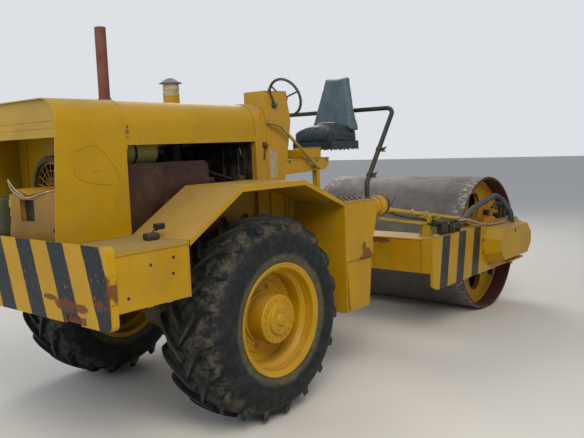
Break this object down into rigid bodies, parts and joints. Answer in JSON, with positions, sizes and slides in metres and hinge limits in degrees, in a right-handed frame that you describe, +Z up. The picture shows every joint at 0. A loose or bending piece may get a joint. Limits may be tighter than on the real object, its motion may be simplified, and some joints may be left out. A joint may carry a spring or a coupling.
{
  "type": "single-drum road roller",
  "caption": "Articulated vibratory roller: smooth steel drum in a frame pinned to a wheeled rear frame with an open engine bay, fenders and driver's seat.",
  "frame": {"origin": "on the ground, midway between the bumper's face and the front of the drum, on the middle plane", "axes": "+X from the engine to the drum, +Y to the left, +Z up"},
  "size_m": [6.07, 2.8, 2.9],
  "materials": {
    "yellow_paint": "dusty, worn enamel",
    "dark_paint": "oily and dusty",
    "ochre_paint": "faded",
    "maroon_paint": "dull",
    "green_paint": "dull",
    "black_paint": "worn",
    "engine_iron": "oily",
    "rusted_steel": "rusty",
    "bare_steel": "tarnished",
    "chromed_steel": "ground",
    "drum_steel": "worn by the ground",
    "tyre_rubber": "dusty",
    "hose_rubber": "matte",
    "black_plastic": "matte",
    "seat_vinyl": "worn vinyl"
  },
  "bodies": {
    "rear_frame": {"air_cleaner": "green_paint", "air_intake": "yellow_paint", "bumper": "yellow_paint", "canister": "green_paint", "console": "yellow_paint", "cowl": "yellow_paint", "deck_box": "ochre_paint", "engine_block": "engine_iron", "engine_cover": "maroon_paint", "engine_floor": "dark_paint", "exhaust_pipe": "rusted_steel", "fan_wall": "yellow_paint", "fender_left": "yellow_paint", "fender_right": "yellow_paint", "front_hood": "yellow_paint", "front_wall": "yellow_paint", "grab_handle": "black_paint", "guard_rail": "black_paint", "platform": "yellow_paint", "rear_axle": "dark_paint", "rear_chassis": "dark_paint", "rear_deck": "yellow_paint", "rear_hood": "yellow_paint", "seat_back": "seat_vinyl", "seat_bracket": "yellow_paint", "seat_cushion": "seat_vinyl", "seat_pedestal": "yellow_paint", "steering_bracket": "dark_paint", "steering_wheel": "black_plastic", "step_boxes": "yellow_paint", "tanks": "yellow_paint", "throttle_lever": "bare_steel", "work_lamps": "yellow_paint"},
    "wheel_right": {"tyre_right": "tyre_rubber", "rim_right": "yellow_paint", "hub_right": "yellow_paint"},
    "wheel_left": {"tyre_left": "tyre_rubber", "rim_left": "yellow_paint", "hub_left": "yellow_paint"},
    "yoke": {"yoke": "dark_paint"},
    "drum_frame": {"cross_beam": "yellow_paint", "arm_right": "yellow_paint", "arm_left": "yellow_paint", "motor_covers": "yellow_paint", "drum_carriers": "yellow_paint", "pipe_rack": "yellow_paint", "drive_hose": "hose_rubber"},
    "drum": {"drum_shell": "drum_steel", "drum_heads": "yellow_paint"},
    "barrel_right": {"cylinder_barrel_right": "dark_paint"},
    "barrel_left": {"cylinder_barrel_left": "dark_paint"},
    "rod_right": {"cylinder_rod_right": "chromed_steel"},
    "rod_left": {"cylinder_rod_left": "chromed_steel"}
  },
  "joints": [
    {"name": "wheel_right_spin", "type": "hinge", "parent": "rear_frame", "child": "wheel_right", "pos_m": [-1.635, -0.928, 0.75], "axis": [0, 1, 0], "continuous": true},
    {"name": "wheel_left_spin", "type": "hinge", "parent": "rear_frame", "child": "wheel_left", "pos_m": [-1.635, 0.928, 0.75], "axis": [0, 1, 0], "continuous": true},
    {"name": "steering", "type": "hinge", "parent": "rear_frame", "child": "yoke", "pos_m": [0.125, 0, 0.78], "axis": [0, 0, 1], "range_deg": [-32, 32]},
    {"name": "swing", "type": "hinge", "parent": "yoke", "child": "drum_frame", "pos_m": [0.465, 0, 0.78], "axis": [1, 0, 0], "range_deg": [-8, 8]},
    {"name": "drum_spin", "type": "hinge", "parent": "drum_frame", "child": "drum", "pos_m": [2.265, 0, 0.77], "axis": [0, 1, 0], "continuous": true},
    {"name": "barrel_right_turn", "type": "hinge", "parent": "rear_frame", "child": "barrel_right", "pos_m": [-0.655, -0.5, 0.78], "axis": [0, 0, 1], "range_deg": [-1, 1]},
    {"name": "rod_right_slide", "type": "slide", "parent": "barrel_right", "child": "rod_right", "axis": [0.9656, 0.26, 0], "range_m": [-0.15, 0.15]},
    {"name": "barrel_left_turn", "type": "hinge", "parent": "rear_frame", "child": "barrel_left", "pos_m": [-0.655, 0.5, 0.78], "axis": [0, 0, 1], "range_deg": [-1, 1]},
    {"name": "rod_left_slide", "type": "slide", "parent": "barrel_left", "child": "rod_left", "axis": [0.9656, -0.26, 0], "range_m": [-0.15, 0.15]}
  ],
  "couplings": [
    {"joint": "barrel_right_turn", "follows": "steering", "ratio": -0.02648},
    {"joint": "rod_right_slide", "follows": "steering", "m_per_rad": 0.26485},
    {"joint": "barrel_left_turn", "follows": "steering", "ratio": -0.02648},
    {"joint": "rod_left_slide", "follows": "steering", "m_per_rad": -0.26485}
  ]
}
